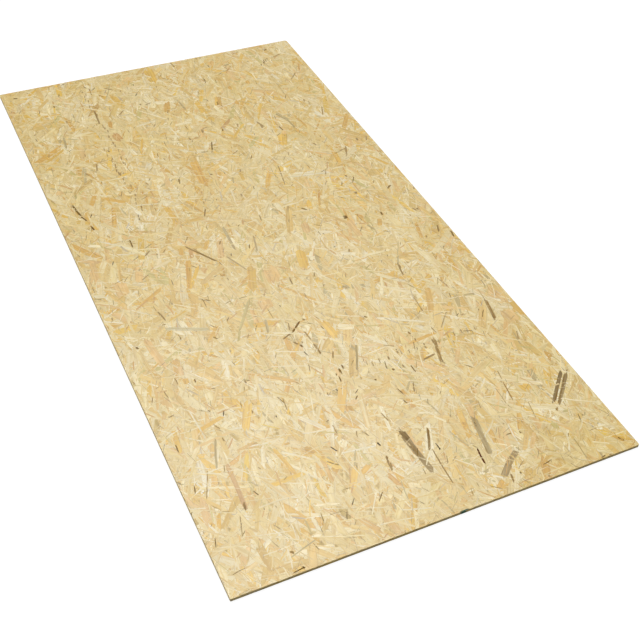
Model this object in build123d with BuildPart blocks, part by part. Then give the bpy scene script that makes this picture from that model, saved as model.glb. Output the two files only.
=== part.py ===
"""One sheet of oriented strand board, lying flat on its broad face."""

from build123d import *
import os

# Lengths are in millimetres. The origin is at the middle of the underside, +Y runs along
# the sheet away from its near short edge, +X is to the right and +Z is up.

# The sheet as it leaves the saw
sheet_length = 2500.0
sheet_width = 1250.0
sheet_thickness = 10.0

# Radius that handling has worn on each upright corner, as seen from the near short edge
near_left_wear = 2.0
near_right_wear = 4.0
far_right_wear = 12.0
far_left_wear = 3.0

# Radius worn on the long arrises, where the broad faces meet the sawn edges
arris_wear = 0.4

half_length = sheet_length / 2
half_width = sheet_width / 2

# The outline is a rectangle with its own worn radius at each corner, extruded upward from
# the underside. The arris wear then runs round both broad faces.
with BuildPart() as osb_sheet:
    with BuildSketch(Plane.XY):
        with BuildLine():
            FilletPolyline(
                (-half_width, -half_length),
                (half_width, -half_length),
                (half_width, half_length),
                (-half_width, half_length),
                radius=[near_left_wear, near_right_wear, far_right_wear, far_left_wear],
                close=True,
            )
        make_face()
    extrude(amount=sheet_thickness)
    broad_faces = osb_sheet.faces().filter_by(Axis.Z)
    fillet(broad_faces.edges(), radius=arris_wear)

osb_sheet.part.label = "osb_sheet"

os.makedirs("parts", exist_ok=True)
export_step(osb_sheet.part, "parts/osb_sheet.step")
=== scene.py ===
"""Dresses one sheet of oriented strand board that lies flat on a pale floor.

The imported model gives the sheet's box. On its two broad faces and four sawn edges this script
lays thousands of thin pressed strands as joined meshes. Each strand is a strip carried along a
gently bowed spine, worked out for all strands at once as whole arrays. Their woods, the saw's
cut and the studio are classes of their own, and main builds them in order.
"""

import logging
from dataclasses import dataclass, field, replace
from enum import Enum

import bpy
import numpy as np
from mathutils import Matrix, Vector

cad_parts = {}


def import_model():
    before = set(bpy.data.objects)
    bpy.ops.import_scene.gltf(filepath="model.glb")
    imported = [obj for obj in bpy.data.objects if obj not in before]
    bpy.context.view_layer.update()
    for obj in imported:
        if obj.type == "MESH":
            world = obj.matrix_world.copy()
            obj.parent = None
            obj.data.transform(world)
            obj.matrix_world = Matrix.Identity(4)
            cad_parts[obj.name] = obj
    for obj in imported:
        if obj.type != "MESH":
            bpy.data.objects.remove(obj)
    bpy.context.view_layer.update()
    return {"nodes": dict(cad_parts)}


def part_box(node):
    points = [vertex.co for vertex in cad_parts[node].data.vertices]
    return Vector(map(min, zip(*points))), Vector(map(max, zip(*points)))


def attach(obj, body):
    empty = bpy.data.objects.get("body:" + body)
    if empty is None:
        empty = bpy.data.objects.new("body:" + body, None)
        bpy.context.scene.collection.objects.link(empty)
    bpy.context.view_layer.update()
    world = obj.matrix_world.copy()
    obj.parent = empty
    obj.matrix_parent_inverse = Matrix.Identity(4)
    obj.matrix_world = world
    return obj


LOG = logging.getLogger("strand_board")

MM = 0.001
BODY = "root"
SHEET_NODE = "osb_sheet"

# A wide strand that stands out is torn into slats of about this width. Each slat is wider than
# its share by the overlap, and a lone one is wider by the spill. A slat's ends shift along by a
# share of the length in this range, and sway sideways by up to a share of the whole width.
SLAT_MM = 12.0
SLAT_OVERLAP = 1.5
LONE_SPILL = 1.15
SLAT_SHIFT = (-0.02, 0.12)
SLAT_SWAY = 0.12


def linear(hex_code: str) -> tuple[float, float, float]:
    """Turns an sRGB hex colour into linear light.

    Each channel below 0.04045 is divided by 12.92, and the others are raised to the power 2.4
    after the usual offset and scale.

    Args:
        hex_code: Six hex digits, red first.

    Returns:
        Red, green and blue in linear light, from 0 to 1.
    """
    srgb = np.array([int(hex_code[i : i + 2], 16) for i in (0, 2, 4)]) / 255
    light = np.where(srgb <= 0.04045, srgb / 12.92, ((srgb + 0.055) / 1.055) ** 2.4)
    return tuple(float(channel) for channel in light)


def add_node(tree: bpy.types.NodeTree, kind: str, wires: dict | None = None, **settings) -> bpy.types.Node:
    """Adds one shader node with its settings, values and links.

    Args:
        tree: The node tree that gets the node.
        kind: The node's type name.
        wires: Input name or number to a value, or to the output socket that feeds it.
        **settings: Attributes set on the node itself before its inputs.

    Returns:
        The new node.
    """
    node = tree.nodes.new(kind)
    for name, value in settings.items():
        setattr(node, name, value)
    for socket, value in (wires or {}).items():
        if isinstance(value, bpy.types.NodeSocket):
            tree.links.new(value, node.inputs[socket])
        else:
            node.inputs[socket].default_value = value
    return node


def blank_material(name: str) -> tuple[bpy.types.Material, bpy.types.NodeTree]:
    """Makes a material whose node tree is empty.

    Args:
        name: The material's name.

    Returns:
        The material and its node tree.
    """
    material = bpy.data.materials.new(name)
    material.use_nodes = True
    material.node_tree.nodes.clear()
    return material, material.node_tree


class Tone(Enum):
    """The colours that strands of softwood and poplar have in the board, as sRGB hex."""

    WHITE_SAP = "DACB9C"
    PALE_SAP = "D3BF86"
    STRAW = "D0B978"
    HONEY = "CFB062"
    TAN = "C5A552"
    PINK_TAN = "CFAC66"
    ORANGE_HEART = "C69C36"
    GOLD_HEART = "D0A938"
    OLIVE = "BAA75A"
    GREY_SAP = "AC995F"
    RUST_TAN = "BD9347"
    GREY_BROWN = "B8A67E"
    OLD_HEART = "8B7650"
    BROWN_HEART = "A2895C"
    ASHEN_HEART = "A8946F"
    DARK_BARK = "7C622E"
    KNOT_BROWN = "3A2A12"
    RED_BARK = "5C2C0C"
    PALE_GREY = "B5A879"
    GREEN_PAINT = "12402A"


@dataclass(frozen=True)
class WoodMix:
    """How often each tone turns up among strands, and how much one strand differs from the next.

    Lighter and warmer say how much of a spread red, green and blue each take, and no colour
    passes the darkest or the palest.
    """

    shares: dict[Tone, float]
    brightness_spread: float = 0.05
    warmth_spread: float = 0.03
    lighter: tuple[float, float, float] = (0.6, 1.0, 1.9)
    warmer: tuple[float, float, float] = (0.4, 0.0, -1.6)
    darkest: float = 0.01
    palest: float = 0.95

    def draw(self, count: int, rng: np.random.Generator) -> np.ndarray:
        """Draws a linear colour for each strand.

        The tone is picked by its share. A normal spread then makes it darker and warmer together,
        since blue is scaled by nearly twice as much as green, and red by less. A second spread
        moves red and blue apart.

        Args:
            count: How many strands.
            rng: The seeded generator.

        Returns:
            An array of count rows by red, green and blue.
        """
        tones = list(self.shares)
        weights = np.array([self.shares[tone] for tone in tones], float)
        palette = np.array([linear(tone.value) for tone in tones])
        picked = palette[rng.choice(len(tones), count, p=weights / weights.sum())]
        light = 1 + self.brightness_spread * rng.standard_normal((count, 1)) * np.array(self.lighter)
        warm = self.warmth_spread * rng.standard_normal((count, 1)) * np.array(self.warmer)
        return np.clip(picked * light * (1 + warm), self.darkest, self.palest)


FACE_WOODS = WoodMix(
    {
        Tone.WHITE_SAP: 0.10,
        Tone.PALE_SAP: 0.29,
        Tone.STRAW: 0.25,
        Tone.HONEY: 0.14,
        Tone.TAN: 0.08,
        Tone.PINK_TAN: 0.06,
        Tone.ORANGE_HEART: 0.026,
        Tone.GOLD_HEART: 0.052,
        Tone.OLIVE: 0.012,
        Tone.GREY_SAP: 0.004,
    },
    brightness_spread=0.05,
)
SLIVER_WOODS = WoodMix(
    {
        Tone.WHITE_SAP: 0.24,
        Tone.PALE_SAP: 0.28,
        Tone.STRAW: 0.20,
        Tone.HONEY: 0.08,
        Tone.TAN: 0.08,
        Tone.ORANGE_HEART: 0.01,
        Tone.GOLD_HEART: 0.02,
        Tone.OLIVE: 0.02,
        Tone.GREY_SAP: 0.02,
    },
    brightness_spread=0.045,
)
ACROSS_WOODS = WoodMix(
    {
        Tone.WHITE_SAP: 0.32,
        Tone.PALE_SAP: 0.46,
        Tone.STRAW: 0.20,
        Tone.OLIVE: 0.02,
    },
    brightness_spread=0.03,
)
HAIR_WOODS = WoodMix(
    {
        Tone.TAN: 0.14,
        Tone.GREY_SAP: 0.08,
        Tone.BROWN_HEART: 0.36,
        Tone.DARK_BARK: 0.32,
        Tone.KNOT_BROWN: 0.10,
    },
    brightness_spread=0.10,
)
FINES_WOODS = WoodMix(
    {
        Tone.WHITE_SAP: 0.20,
        Tone.PALE_SAP: 0.22,
        Tone.TAN: 0.16,
        Tone.PINK_TAN: 0.10,
        Tone.ORANGE_HEART: 0.02,
        Tone.OLIVE: 0.07,
        Tone.GREY_SAP: 0.08,
        Tone.BROWN_HEART: 0.10,
        Tone.DARK_BARK: 0.05,
        Tone.KNOT_BROWN: 0.02,
    },
    brightness_spread=0.05,
)
BARK_WOODS = WoodMix(
    {
        Tone.BROWN_HEART: 0.56,
        Tone.DARK_BARK: 0.34,
        Tone.KNOT_BROWN: 0.10,
    },
    brightness_spread=0.08,
)
RUSTY_WOODS = WoodMix(
    {
        Tone.RUST_TAN: 0.40,
        Tone.ORANGE_HEART: 0.35,
        Tone.GREY_BROWN: 0.25,
    },
    brightness_spread=0.05,
)
SAWN_WOODS = WoodMix(
    {
        Tone.PALE_GREY: 0.24,
        Tone.STRAW: 0.16,
        Tone.TAN: 0.14,
        Tone.OLIVE: 0.16,
        Tone.GREY_SAP: 0.22,
        Tone.GREY_BROWN: 0.06,
        Tone.BROWN_HEART: 0.02,
    },
    brightness_spread=0.10,
)


class Cut(Enum):
    """How a strand's outline is drawn: its cross lines, as shares of its length from its middle."""

    CHIP = (-0.5, 0.5)
    SLIVER = (-0.5, 0.0, 0.5)
    FLAKE = (-0.5, -0.4, 0.4, 0.5)
    BOWED_FLAKE = (-0.5, -0.4, 0.0, 0.4, 0.5)


@dataclass
class Strands:
    """Flat strands on one plane, one entry of each array for each strand.

    Lengths are in metres. The place is across and along the plane, and the angle is measured
    from the plane's along axis towards its across axis, in radians. The level is the height of
    the strand's outer side above the plane, the skew says how slanted its ends are cut, and the
    figure says how strongly its grain shows, where 1 is plain pale wood.
    """

    across: np.ndarray
    along: np.ndarray
    angle: np.ndarray
    length: np.ndarray
    width: np.ndarray
    bow: np.ndarray
    taper: np.ndarray
    skew: np.ndarray
    level: np.ndarray
    tint: np.ndarray
    figure: np.ndarray

    def __len__(self) -> int:
        """The number of strands."""
        return len(self.across)

    def pick(self, which: np.ndarray) -> "Strands":
        """The strands that a mask or a list of places names, in that order."""
        return Strands(**{name: values[which] for name, values in vars(self).items()})

    @staticmethod
    def together(groups: list["Strands"]) -> "Strands":
        """Joins groups of strands, one after another."""
        names = vars(groups[0])
        joined = {name: np.concatenate([vars(group)[name] for group in groups]) for name in names}
        return Strands(**joined)


@dataclass
class Layer:
    """Strands of one sort, and how their outlines are drawn."""

    cut: Cut
    strands: Strands


@dataclass(frozen=True)
class Lay:
    """How one sort of strand is strewn over a plane, in millimetres and degrees.

    The strewing machine turns most strands towards one direction with a normal spread, and a
    share of them falls at any angle.
    """

    count: int
    length_mm: tuple[float, float]
    width_mm: tuple[float, float]
    level_mm: tuple[float, float]
    woods: WoodMix
    cut: Cut = Cut.FLAKE
    lean_deg: float = 7.0
    spread_deg: float = 20.0
    stray_share: float = 0.22
    bow_share: float = 0.02
    taper: tuple[float, float] = (0.45, 1.0)
    figure: tuple[float, float] = (0.5, 1.5)
    length_curve: tuple[float, float] = (1.6, 2.2)
    width_curve: tuple[float, float] = (1.4, 2.6)

    def strew(self, across: float, along: float, rng: np.random.Generator) -> Strands:
        """Strews the strands over a rectangle.

        The places are a jittered grid: whole cells in random order, each with a random point in
        it, so that the cover is even. Lengths and widths are drawn from a beta curve that leans
        towards the short and narrow end.

        Args:
            across: The rectangle's size across, in metres.
            along: The rectangle's size along, in metres.
            rng: The seeded generator.

        Returns:
            The strands.
        """
        columns = max(1, int(round(np.sqrt(self.count * across / along))))
        rows = int(np.ceil(self.count / columns))
        cells = rng.permutation(columns * rows)[: self.count]
        spot = rng.random((2, self.count))
        angle = np.radians(self.lean_deg + self.spread_deg * rng.standard_normal(self.count))
        stray = rng.random(self.count) < self.stray_share
        angle[stray] = rng.uniform(-np.pi / 2, np.pi / 2, int(stray.sum()))
        small, large = self.length_mm
        length = MM * (small + (large - small) * rng.beta(*self.length_curve, self.count))
        thin, broad = self.width_mm
        width = MM * (thin + (broad - thin) * rng.beta(*self.width_curve, self.count))
        return Strands(
            across=((cells % columns + spot[0]) / columns - 0.5) * across,
            along=((cells // columns + spot[1]) / rows - 0.5) * along,
            angle=angle,
            length=length,
            width=width,
            bow=length * self.bow_share * rng.standard_normal(self.count),
            taper=rng.uniform(*self.taper, self.count),
            skew=rng.uniform(-1, 1, self.count),
            level=MM * rng.uniform(*self.level_mm, self.count),
            tint=self.woods.draw(self.count, rng),
            figure=rng.uniform(*self.figure, self.count),
        )


@dataclass(frozen=True)
class Mark:
    """One strand or speck that stands out in the photo, from its start to its end, in millimetres."""

    start: tuple[float, float]
    end: tuple[float, float]
    width: float
    tone: Tone
    taper: float = 0.55

    def slats(self, rng: np.random.Generator) -> list["Mark"]:
        """Splits a wide mark into narrow ones side by side, as a torn strand lies.

        The slats' middles are spread evenly over the width. Their ends are drawn in or let out
        and moved sideways by random shares, so they overlap and the outline looks frayed.

        Args:
            rng: The seeded generator.

        Returns:
            One mark for each slat.
        """
        number = max(1, int(round(self.width / SLAT_MM)))
        start, end = np.array(self.start, float), np.array(self.end, float)
        run = end - start
        side = np.array([run[1], -run[0]]) / np.linalg.norm(run)
        wide = (LONE_SPILL if number == 1 else SLAT_OVERLAP) * self.width / number
        parts = []
        for place in (np.arange(number) + 0.5) / number - 0.5:
            ahead, behind = rng.uniform(*SLAT_SHIFT, 2) * (number > 1)
            lean = rng.uniform(-SLAT_SWAY, SLAT_SWAY, 2) * self.width * (number > 1)
            here = tuple(start + run * ahead + side * (self.width * place + lean[0]))
            there = tuple(end - run * behind + side * (self.width * place + lean[1]))
            parts.append(Mark(here, there, wide, self.tone, self.taper))
        return parts


@dataclass(frozen=True)
class Trail:
    """A dotted line of dark specks, as the press belt leaves them, in millimetres.

    The stray is how far specks lie to the side of the line, as a normal spread. Each speck leans
    a little and runs its half length to either side of its place.
    """

    start: tuple[float, float]
    end: tuple[float, float]
    specks: int
    stray: float
    tone: Tone
    half_length: tuple[float, float] = (4.0, 12.0)
    width: tuple[float, float] = (2.4, 6.0)
    slope: float = 0.15
    unevenness: float = 0.4

    def marks(self, rng: np.random.Generator) -> list[Mark]:
        """Spaces the specks unevenly from start to end and moves each one sideways a little.

        A speck's share of the way is its number and a half, moved by up to the unevenness to
        either side, over the count.

        Args:
            rng: The seeded generator.

        Returns:
            One mark for each speck.
        """
        start, end = np.array(self.start, float), np.array(self.end, float)
        run = (end - start) / np.linalg.norm(end - start)
        side = np.array([run[1], -run[0]])
        jitter = rng.uniform(-self.unevenness, self.unevenness, self.specks)
        share = (np.arange(self.specks) + jitter + 0.5) / self.specks
        spots = start + share[:, None] * (end - start)
        spots = spots + rng.normal(0, self.stray, (self.specks, 1)) * side
        half = rng.uniform(*self.half_length, (self.specks, 1)) * np.array([[self.slope, 1.0]])
        wide = rng.uniform(*self.width, self.specks)
        return [
            Mark(tuple(here), tuple(there), float(across), self.tone)
            for here, there, across in zip(spots - half, spots + half, wide, strict=True)
        ]


# The strands that stand out in the photo, read from it. Places are across and along the
# sheet, in millimetres from its middle.
MARKS = [
    Mark((-479, -854), (-487, -1015), 12, Tone.RUST_TAN, 0.7),
    Mark((-484, -978), (-489, -1018), 5, Tone.BROWN_HEART),
    Mark((-340, -854), (-319, -960), 11, Tone.GOLD_HEART),
    Mark((-475, -758), (-510, -862), 6, Tone.GREY_SAP),
    Mark((-535, -854), (-570, -942), 2.4, Tone.BROWN_HEART),
    Mark((-560, -1000), (-573, -1042), 10, Tone.ORANGE_HEART),
    Mark((-510, -1029), (-527, -1087), 2, Tone.BROWN_HEART),
    Mark((-87, -1062), (-75, -1104), 14, Tone.RUST_TAN),
    Mark((-62, -948), (-59, -962), 4.5, Tone.KNOT_BROWN),
    Mark((-292, -1119), (-254, -1121), 1.5, Tone.BROWN_HEART),
    Mark((-254, -1121), (-235, -1162), 1.5, Tone.GREY_SAP),
    Mark((-235, -1162), (-246, -1175), 1.5, Tone.BROWN_HEART),
    Mark((-442, -1200), (-358, -1175), 4, Tone.GREY_SAP),
    Mark((-424, -1236), (-419, -1241), 4.1, Tone.KNOT_BROWN),
    Mark((-433, -1182), (-427, -1190), 6.1, Tone.BROWN_HEART),
    Mark((-358, -1108), (-362, -1158), 5, Tone.OLIVE),
    Mark((-327, -1114), (-325, -1130), 10, Tone.ORANGE_HEART),
    Mark((-119, -1010), (-148, -1027), 15, Tone.ORANGE_HEART),
    Mark((-150, -840), (-152, -875), 2.7, Tone.BROWN_HEART),
    Mark((-119, -1146), (-123, -1171), 7, Tone.GREY_SAP),
    Mark((-229, -771), (-171, -850), 13, Tone.WHITE_SAP),
    Mark((-317, -1075), (-250, -1096), 4, Tone.WHITE_SAP),
    Mark((21, -939), (33, -1104), 19, Tone.ASHEN_HEART, 0.8),
    Mark((20, -941), (24, -975), 15, Tone.OLD_HEART, 0.7),
    Mark((95, -957), (60, -1031), 7.2, Tone.BROWN_HEART),
    Mark((70, -1030), (63, -1158), 3.5, Tone.BROWN_HEART),
    Mark((238, -976), (223, -1052), 15, Tone.GREY_BROWN, 0.9),
    Mark((226, -1030), (212, -1110), 15, Tone.GREY_BROWN, 0.6),
    Mark((188, -1079), (180, -1134), 5, Tone.RED_BARK),
    Mark((285, -1131), (232, -1167), 17, Tone.ASHEN_HEART, 0.9),
    Mark((240, -1161), (203, -1194), 18, Tone.ASHEN_HEART, 0.9),
    Mark((227, -1192), (219, -1221), 5.4, Tone.BROWN_HEART),
    Mark((584, -919), (490, -1017), 11, Tone.OLD_HEART, 0.8),
    Mark((593, -930), (500, -1028), 11, Tone.OLD_HEART, 0.6),
    Mark((490, -1036), (480, -1049), 4.8, Tone.BROWN_HEART),
    Mark((606, -920), (598, -925), 4.1, Tone.BROWN_HEART),
    Mark((394.5, -890), (382, -961), 3.4, Tone.BROWN_HEART),
    Mark((360, -904), (356, -967), 2, Tone.BROWN_HEART),
    Mark((404, -842), (398, -875), 2.7, Tone.BROWN_HEART),
    Mark((137, -775), (112, -804), 6, Tone.GREY_SAP),
    Mark((144, -783), (129, -819), 3.4, Tone.BROWN_HEART),
    Mark((542, -715), (533, -771), 4.1, Tone.GREY_SAP),
    Mark((216, -924), (197, -1000), 17, Tone.GOLD_HEART, 0.6),
    Mark((205, -975), (190, -1036), 15, Tone.ORANGE_HEART, 0.6),
    Mark((92, -912), (88, -930), 14, Tone.ORANGE_HEART),
    Mark((91, -1034), (89, -1041), 4.1, Tone.KNOT_BROWN),
    Mark((421, -983), (406, -1050), 2, Tone.BROWN_HEART),
    Mark((576, -1194), (594, -1221), 12, Tone.ORANGE_HEART),
    Mark((583, -1203), (593, -1220), 3.1, Tone.KNOT_BROWN),
    Mark((553, -1085), (545, -1096), 3.4, Tone.GREY_SAP),
    Mark((564, -1133), (560, -1138), 4.1, Tone.GREY_SAP),
    Mark((464, -1150), (455, -1232), 3, Tone.GREY_SAP),
    Mark((505, -1189), (547, -1213), 8, Tone.WHITE_SAP),
    Mark((603, -988), (596, -1003), 12, Tone.PINK_TAN),
    Mark((195, -918), (176, -950), 2, Tone.GREY_SAP),
    Mark((588, -835), (587, -858), 16, Tone.ORANGE_HEART),
    Mark((181, -938), (178, -946), 3.4, Tone.BROWN_HEART),
    Mark((254, -1197), (254, -1204), 4.1, Tone.DARK_BARK),
    Mark((196, -1211), (172, -1224), 22, Tone.ORANGE_HEART, 0.5),
    Mark((95, -1067), (84, -1092), 2, Tone.BROWN_HEART),
    Mark((89, -1150), (87, -1155), 3.4, Tone.BROWN_HEART),
    Mark((175, -1157), (162, -1160), 8, Tone.GREY_SAP),
    Mark((167, -1192), (172, -1200), 5, Tone.GREY_SAP),
    Mark((79, -1175), (80, -1205), 2.5, Tone.GREY_SAP),
    Mark((4, -1192), (16, -1248), 4, Tone.GREY_SAP),
    Mark((483, -1040), (479, -1046), 4.1, Tone.DARK_BARK),
    Mark((446, -920), (446, -942), 26, Tone.GOLD_HEART, 0.6),
    Mark((442, -1080), (443, -1105), 18, Tone.OLIVE, 0.6),
    Mark((371, -1092), (330, -1139), 12, Tone.PINK_TAN, 0.5),
    Mark((441, -906), (502, -940), 12, Tone.WHITE_SAP, 0.5),
    Mark((307, -1026), (307, -1032), 3.4, Tone.BROWN_HEART),
    Mark((540, -1089), (540, -1095), 4.8, Tone.BROWN_HEART),
    Mark((333, -1072), (334, -1080), 4.1, Tone.DARK_BARK),
    Mark((-458, -282), (-335, -336), 14, Tone.PALE_GREY, 0.5),
    Mark((-167, -256), (-248, -375), 9, Tone.OLIVE),
    Mark((-140, -465), (-100, -447), 4.1, Tone.BROWN_HEART),
    Mark((-100, -447), (-60, -411), 5.4, Tone.DARK_BARK),
    Mark((-48, -405), (-42, -411), 5.4, Tone.BROWN_HEART),
    Mark((-65, -458), (-61, -500), 4.1, Tone.BROWN_HEART),
    Mark((-61, -520), (-59, -568), 6, Tone.BROWN_HEART),
    Mark((-117, -488), (-106, -503), 6.1, Tone.BROWN_HEART),
    Mark((-102, -508), (-98, -518), 5.4, Tone.DARK_BARK),
    Mark((-130, -310), (-130, -368), 2, Tone.BROWN_HEART),
    Mark((-335, -662), (-386, -762), 20, Tone.GOLD_HEART, 0.6),
    Mark((-530, -303), (-514, -440), 19, Tone.PINK_TAN),
    Mark((-316, -582), (-314, -592), 4.1, Tone.BROWN_HEART),
    Mark((-217, -580), (-212, -590), 5.4, Tone.BROWN_HEART),
    Mark((-449, -518), (-451, -532), 3.4, Tone.DARK_BARK),
    Mark((-457, -650), (-452, -655), 4.1, Tone.DARK_BARK),
    Mark((-567, -325), (-562, -332), 5.4, Tone.DARK_BARK),
    Mark((-240, -690), (-246, -736), 2.7, Tone.BROWN_HEART),
    Mark((-570, -525), (-588, -592), 7, Tone.PINK_TAN),
    Mark((-472, -455), (-478, -495), 12, Tone.PINK_TAN),
    Mark((-81, -719), (-78, -725), 4.1, Tone.KNOT_BROWN),
    Mark((58, -575), (2, -694), 7, Tone.GREY_BROWN, 0.9),
    Mark((46, -580), (-10, -696), 20, Tone.TAN, 0.8),
    Mark((296, -642), (266, -740), 10, Tone.BROWN_HEART),
    Mark((266, -738), (274, -752), 3.4, Tone.BROWN_HEART),
    Mark((264, -704), (222, -712), 6.1, Tone.BROWN_HEART),
    Mark((112, -709), (118, -716), 6.1, Tone.DARK_BARK),
    Mark((172, -718), (173, -748), 3.4, Tone.DARK_BARK),
    Mark((44, -727), (47, -733), 4.8, Tone.DARK_BARK),
    Mark((365, -665), (422, -671), 8, Tone.TAN),
    Mark((398, -650), (423, -659), 2.7, Tone.DARK_BARK),
    Mark((541, -552), (522, -642), 11, Tone.BROWN_HEART, 0.9),
    Mark((396, -550), (341, -610), 3.2, Tone.BROWN_HEART),
    Mark((329, -450), (324, -524), 3.4, Tone.BROWN_HEART),
    Mark((363, -276), (351, -340), 4.8, Tone.BROWN_HEART),
    Mark((448, -394), (461, -447), 3.4, Tone.BROWN_HEART),
    Mark((592, -328), (554, -345), 5, Tone.TAN),
    Mark((487, -504), (524, -512), 10, Tone.GREY_SAP),
    Mark((139, -468), (146, -477), 4.8, Tone.DARK_BARK),
    Mark((66, -450), (64, -464), 9, Tone.OLIVE),
    Mark((10, -430), (15, -522), 22, Tone.GOLD_HEART),
    Mark((170, -490), (304, -566), 11, Tone.WHITE_SAP),
    Mark((40, -478), (92, -502), 20, Tone.WHITE_SAP),
    Mark((235, -585), (237, -597), 5.4, Tone.BROWN_HEART),
    Mark((-265, 72), (-195, -38), 6.4, Tone.BROWN_HEART, 0.9),
    Mark((-255, 52), (-265, 8), 13, Tone.RUST_TAN),
    Mark((-281, 2), (-324, -134), 17, Tone.ORANGE_HEART, 0.8),
    Mark((-262, -40), (-318, -128), 12, Tone.GOLD_HEART),
    Mark((-284, 72), (-292, 35), 14, Tone.ORANGE_HEART),
    Mark((-185, 74), (-206, 38), 15, Tone.ORANGE_HEART),
    Mark((-98, -104), (-140, -226), 24, Tone.GOLD_HEART, 0.8),
    Mark((-110, 125), (-116, -5), 9, Tone.GREY_SAP),
    Mark((-156, -28), (-119, -116), 6, Tone.GREY_SAP),
    Mark((-412, -100), (-480, -142), 13, Tone.ORANGE_HEART, 0.6),
    Mark((-470, -136), (-515, -164), 6, Tone.RUST_TAN),
    Mark((-146, 206), (-128, 246), 4.8, Tone.BROWN_HEART),
    Mark((-427, 177), (-430, 134), 4.1, Tone.DARK_BARK),
    Mark((-405, 77), (-381, 99), 4.1, Tone.BROWN_HEART),
    Mark((-452, -36), (-424, -17), 3.4, Tone.BROWN_HEART),
    Mark((-455, -199), (-445, -246), 4.1, Tone.BROWN_HEART),
    Mark((-305, -194), (-306, -240), 2.7, Tone.BROWN_HEART),
    Mark((-573, -23), (-569, -29), 4.1, Tone.BROWN_HEART),
    Mark((-61, 2), (-68, -17), 3.4, Tone.DARK_BARK),
    Mark((-30, 40), (-50, -42), 6, Tone.GREY_SAP),
    Mark((-5, -206), (-8, -242), 4.1, Tone.BROWN_HEART),
    Mark((149, 152), (113, 62), 3.2, Tone.BROWN_HEART),
    Mark((146, 140), (96, 8), 18, Tone.TAN, 0.8),
    Mark((160, 40), (148, -15), 24, Tone.PINK_TAN),
    Mark((311, 96), (309, 24), 6, Tone.OLIVE),
    Mark((311, 24), (309, 6), 13, Tone.DARK_BARK),
    Mark((547, 124), (530, 111), 6.8, Tone.DARK_BARK),
    Mark((187, 119), (203, 105), 5.4, Tone.DARK_BARK),
    Mark((34, 140), (28, 108), 4.1, Tone.BROWN_HEART),
    Mark((446, 222), (428, 194), 3.1, Tone.DARK_BARK),
    Mark((419, 240), (424, 233), 6.1, Tone.DARK_BARK),
    Mark((440, -6), (438, -23), 6.1, Tone.DARK_BARK),
    Mark((362, -54), (374, -87), 7, Tone.GREY_SAP),
    Mark((556, -28), (563, -46), 5.4, Tone.BROWN_HEART),
    Mark((568, -36), (573, -42), 5.4, Tone.DARK_BARK),
    Mark((592, -148), (578, -182), 5.4, Tone.BROWN_HEART),
    Mark((618, -196), (613, -226), 5.4, Tone.DARK_BARK),
    Mark((244, -149), (236, -165), 4.8, Tone.BROWN_HEART),
    Mark((88, -88), (62, -185), 26, Tone.GOLD_HEART, 0.7),
    Mark((308, -5), (312, -98), 21, Tone.PINK_TAN),
    Mark((418, -38), (402, -74), 15, Tone.ORANGE_HEART),
    Mark((-553, 437), (-543, 370), 6.8, Tone.DARK_BARK, 0.9),
    Mark((-543, 362), (-531, 334), 4.8, Tone.DARK_BARK),
    Mark((-526, 298), (-522, 274), 6.1, Tone.DARK_BARK),
    Mark((-150, 456), (-162, 418), 3.4, Tone.DARK_BARK),
    Mark((-70, 542), (-84, 372), 24, Tone.ORANGE_HEART, 0.7),
    Mark((-198, 745), (-232, 650), 9, Tone.GOLD_HEART),
    Mark((-404, 650), (-415, 604), 4.8, Tone.BROWN_HEART),
    Mark((-461, 612), (-450, 588), 4.8, Tone.BROWN_HEART),
    Mark((-30, 688), (-28, 670), 5.4, Tone.BROWN_HEART),
    Mark((-38, 434), (-33, 427), 5.4, Tone.DARK_BARK),
    Mark((-20, 577), (4, 573), 6.1, Tone.BROWN_HEART),
    Mark((-573, 532), (-580, 512), 22, Tone.PINK_TAN),
    Mark((-274, 472), (-269, 452), 4.1, Tone.BROWN_HEART),
    Mark((-392, 478), (-343, 483), 8, Tone.WHITE_SAP),
    Mark((162, 748), (112, 702), 13, Tone.RUST_TAN),
    Mark((156, 736), (118, 700), 6, Tone.ORANGE_HEART),
    Mark((112, 696), (108, 684), 6.1, Tone.DARK_BARK),
    Mark((178, 710), (173, 688), 4.8, Tone.BROWN_HEART),
    Mark((42, 632), (23, 576), 4.8, Tone.DARK_BARK),
    Mark((254, 694), (268, 652), 6.8, Tone.BROWN_HEART),
    Mark((323, 632), (328, 602), 4.4, Tone.DARK_BARK),
    Mark((350, 724), (376, 664), 15, Tone.GREY_SAP),
    Mark((371, 690), (379, 604), 8, Tone.GREY_SAP),
    Mark((541, 702), (519, 644), 4.8, Tone.BROWN_HEART),
    Mark((506, 412), (480, 350), 5.4, Tone.BROWN_HEART, 0.9),
    Mark((502, 401), (446, 384), 3.4, Tone.BROWN_HEART),
    Mark((612, 616), (556, 528), 16, Tone.ORANGE_HEART, 0.6),
    Mark((611, 444), (600, 420), 4.8, Tone.BROWN_HEART),
    Mark((170, 366), (126, 282), 17, Tone.ORANGE_HEART, 0.7),
    Mark((214, 388), (190, 272), 4, Tone.BROWN_HEART),
    Mark((234, 372), (226, 352), 10, Tone.WHITE_SAP),
    Mark((368, 298), (354, 272), 4.1, Tone.BROWN_HEART),
    Mark((104, 348), (108, 318), 11, Tone.OLIVE),
    Mark((314, 578), (288, 508), 28, Tone.GOLD_HEART, 0.8),
    Mark((-310, 1000), (-317, 905), 6.4, Tone.BROWN_HEART, 0.9),
    Mark((-204, 962), (-226, 938), 6.1, Tone.BROWN_HEART),
    Mark((-580, 1203), (-566, 1198), 7.5, Tone.DARK_BARK),
    Mark((-470, 862), (-480, 788), 8, Tone.GREY_SAP),
    Mark((-449, 1090), (-447, 1080), 5.4, Tone.DARK_BARK),
    Mark((-130, 982), (-125, 978), 5.4, Tone.DARK_BARK),
    Mark((-286, 818), (-276, 768), 26, Tone.RUST_TAN),
    Mark((-277, 906), (-284, 864), 14, Tone.ORANGE_HEART),
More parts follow.
